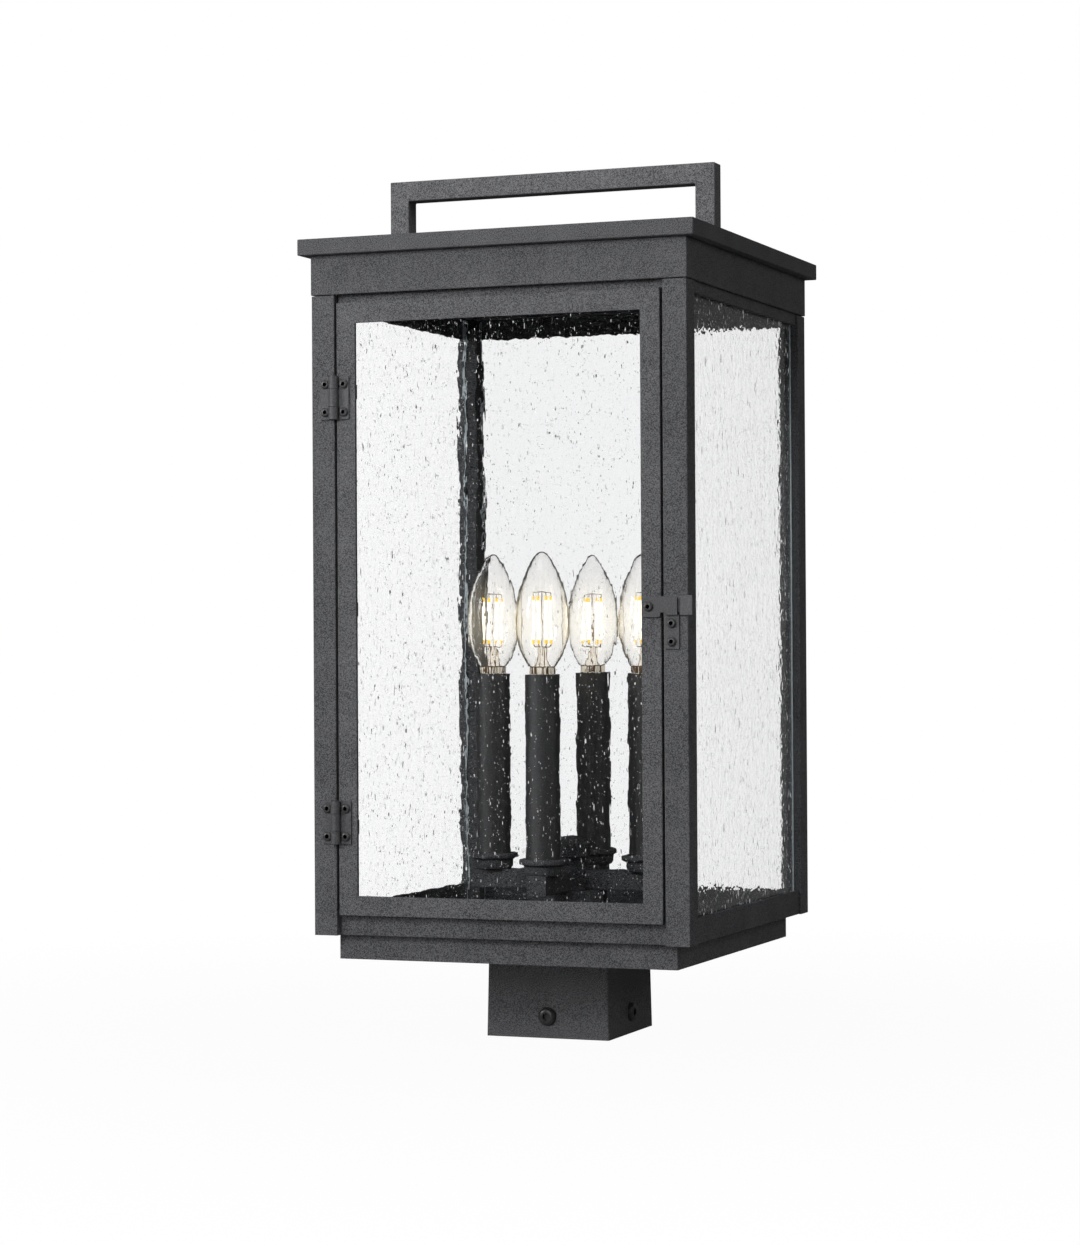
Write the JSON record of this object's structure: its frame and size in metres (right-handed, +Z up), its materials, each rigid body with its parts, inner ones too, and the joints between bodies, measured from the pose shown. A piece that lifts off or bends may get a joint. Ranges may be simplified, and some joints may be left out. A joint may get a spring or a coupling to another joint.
{
  "type": "outdoor post light",
  "caption": "Square post-top lantern in black metal with seeded glass, a hinged and latched glass door, a lift handle, candle lights inside and a square clamp-on post fitter.",
  "frame": {"origin": "centre of the post fitter's open bottom rim", "axes": "+Z up, -Y out through the door, +X toward the latch side"},
  "size_m": [0.2676, 0.2676, 0.5667],
  "materials": {
    "black_coat": "fine sand-textured charcoal black powder coat, low gloss",
    "cast_black": "the same powder coat on the cast fitter",
    "black_screws": "black coated screws and pins",
    "sleeve_black": "smooth matte black candle tube",
    "seeded_glass": "clear seeded glass with drawn-out bubbles and a slight wave",
    "bulb_glass": "thin clear bulb glass",
    "bulb_cap": "bright nickel-plated screw cap",
    "filament": "yellow phosphor strips, glass stem and wires",
    "zinc_steel": "zinc-plated steel",
    "holder_plastic": "black phenolic",
    "wire_sheath": "black wire insulation"
  },
  "bodies": {
    "lantern": {"base_pan": "black_coat", "bulb_bases": "bulb_cap", "bulb_filaments": "filament", "bulb_glass_1": "bulb_glass", "bulb_glass_2": "bulb_glass", "bulb_glass_3": "bulb_glass", "bulb_glass_4": "bulb_glass", "candle_cup_1": "black_coat", "candle_cup_2": "black_coat", "candle_cup_3": "black_coat", "candle_cup_4": "black_coat", "candle_sleeve_1": "sleeve_black", "candle_sleeve_2": "sleeve_black", "candle_sleeve_3": "sleeve_black", "candle_sleeve_4": "sleeve_black", "cluster_arms": "black_coat", "cluster_hub": "black_coat", "fitter_plate_screws": "zinc_steel", "fitter_set_screws": "black_screws", "glass_clips": "black_coat", "glass_left": "seeded_glass", "glass_rear": "seeded_glass", "glass_right": "seeded_glass", "handle": "black_coat", "handle_screws": "zinc_steel", "header_box": "black_coat", "hinge_lower_post_leaf": "black_coat", "hinge_pins": "black_screws", "hinge_post_screws": "black_screws", "hinge_upper_post_leaf": "black_coat", "keeper_screws": "black_screws", "lampholders": "holder_plastic", "latch_keeper": "black_coat", "nipple_locknuts": "zinc_steel", "post_fitter": "cast_black", "post_front_left": "black_coat", "post_front_right": "black_coat", "post_rear_left": "black_coat", "post_rear_right": "black_coat", "rail_front_bottom": "black_coat", "rail_front_top": "black_coat", "rail_left_bottom": "black_coat", "rail_left_top": "black_coat", "rail_rear_bottom": "black_coat", "rail_rear_top": "black_coat", "rail_right_bottom": "black_coat", "rail_right_top": "black_coat", "roof_cap": "black_coat", "supply_nipple": "zinc_steel", "supply_wires": "wire_sheath", "wiring_canopy": "black_coat"},
    "door": {"door_frame": "black_coat", "door_glass": "seeded_glass", "door_glass_clips": "black_coat", "hinge_upper_door_leaf": "black_coat", "hinge_lower_door_leaf": "black_coat", "hinge_door_screws": "black_screws", "latch_pivot_screw": "black_screws"},
    "latch": {"latch_arm": "black_coat"}
  },
  "joints": [
    {"name": "door_hinge", "type": "hinge", "parent": "lantern", "child": "door", "pos_m": [-0.11033, -0.13035, 0.28], "axis": [0, 0, -1], "range_deg": [0, 110]},
    {"name": "latch_swing", "type": "hinge", "parent": "door", "child": "latch", "pos_m": [0.1018, -0.128, 0.2798], "axis": [0, -1, 0], "range_deg": [0, 95]}
  ]
}
